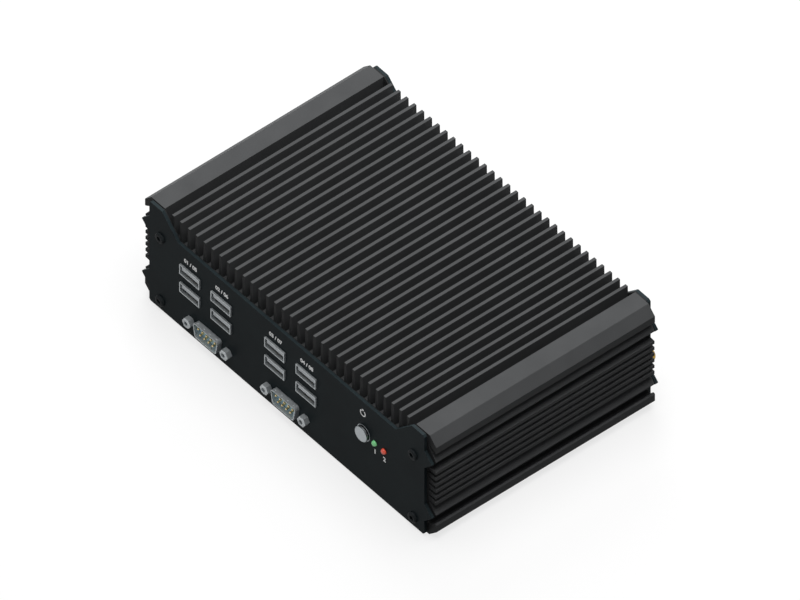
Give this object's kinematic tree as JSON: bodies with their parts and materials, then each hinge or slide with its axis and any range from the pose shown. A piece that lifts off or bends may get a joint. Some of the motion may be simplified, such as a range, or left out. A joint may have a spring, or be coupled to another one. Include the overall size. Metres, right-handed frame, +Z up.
{
  "type": "fanless industrial pc",
  "caption": "Fanless industrial computer in a finned aluminium housing, with ports and a power button on its front panel.",
  "frame": {"origin": "middle of the flat underside of the base cover", "axes": "+Z up through the fins, -Y out of the front panel, +X to the right seen from the front"},
  "size_m": [0.1954, 0.1394, 0.0616],
  "materials": {
    "anodised_black": "black anodised, satin",
    "powder_black": "smooth black coating, semi-gloss",
    "gasket_rubber": "matt",
    "black_screw": "black oxide",
    "zinc_screw": "zinc plated",
    "plated_shell": "tin plated, satin",
    "blue_insulator": "moulded",
    "gold_contact": "gold plated",
    "grey_tongue": "moulded",
    "black_plastic": "moulded",
    "green_plastic": "moulded",
    "circuit_board": "solder mask",
    "steel_cap": "turned",
    "green_lens": "clear tinted",
    "red_lens": "clear tinted",
    "bare_aluminium": "milled",
    "thermal_pad": "soft pad",
    "coil_grey": "pressed powder"
  },
  "bodies": {
    "case": {"antenna_contacts": "gold_contact", "antenna_jacks": "gold_contact", "antenna_nuts": "gold_contact", "base_cover": "anodised_black", "base_screws": "zinc_screw", "board_screws": "zinc_screw", "board_standoffs": "zinc_screw", "button_guide": "black_plastic", "capacitors": "bare_aluminium", "cell_holder": "black_plastic", "chip_packages": "black_plastic", "coin_cell": "bare_aluminium", "display_insulator": "blue_insulator", "display_shell": "plated_shell", "drive": "bare_aluminium", "drive_bracket": "bare_aluminium", "drive_screws": "zinc_screw", "front_gasket": "gasket_rubber", "front_panel": "powder_black", "heat_spreader": "bare_aluminium", "housing": "anodised_black", "jackscrews": "plated_shell", "light_holder": "black_plastic", "mainboard": "circuit_board", "memory_module": "circuit_board", "memory_socket": "black_plastic", "network_inserts": "black_plastic", "network_jack_1": "plated_shell", "network_jack_2": "plated_shell", "panel_screws": "black_screw", "power_coils": "coil_grey", "power_inlet": "green_plastic", "power_pins": "gold_contact", "processor": "bare_aluminium", "processor_pad": "thermal_pad", "rear_gasket": "gasket_rubber", "rear_panel": "powder_black", "rear_usb_socket": "plated_shell", "roof_pad": "thermal_pad", "serial_board": "circuit_board", "serial_header": "black_plastic", "serial_insulator_1": "blue_insulator", "serial_insulator_2": "blue_insulator", "serial_pins": "gold_contact", "serial_shell_1": "plated_shell", "serial_shell_2": "plated_shell", "spreader_screws": "zinc_screw", "status_light_green": "green_lens", "status_light_red": "red_lens", "switch_body": "black_plastic", "usb_socket_1": "plated_shell", "usb_socket_2": "plated_shell", "usb_socket_3": "plated_shell", "usb_socket_4": "plated_shell", "usb_tongues": "grey_tongue", "video_port": "plated_shell", "video_tongue": "black_plastic"},
    "power_button": {"button_cap": "steel_cap", "button_clip": "steel_cap", "switch_plunger": "black_plastic"}
  },
  "joints": [
    {"name": "power_button_press", "type": "slide", "parent": "case", "child": "power_button", "axis": [0, 1, 0], "range_m": [0, 0.0005], "stiffness_N_per_m": 1500, "springref_m": -0.0003}
  ]
}
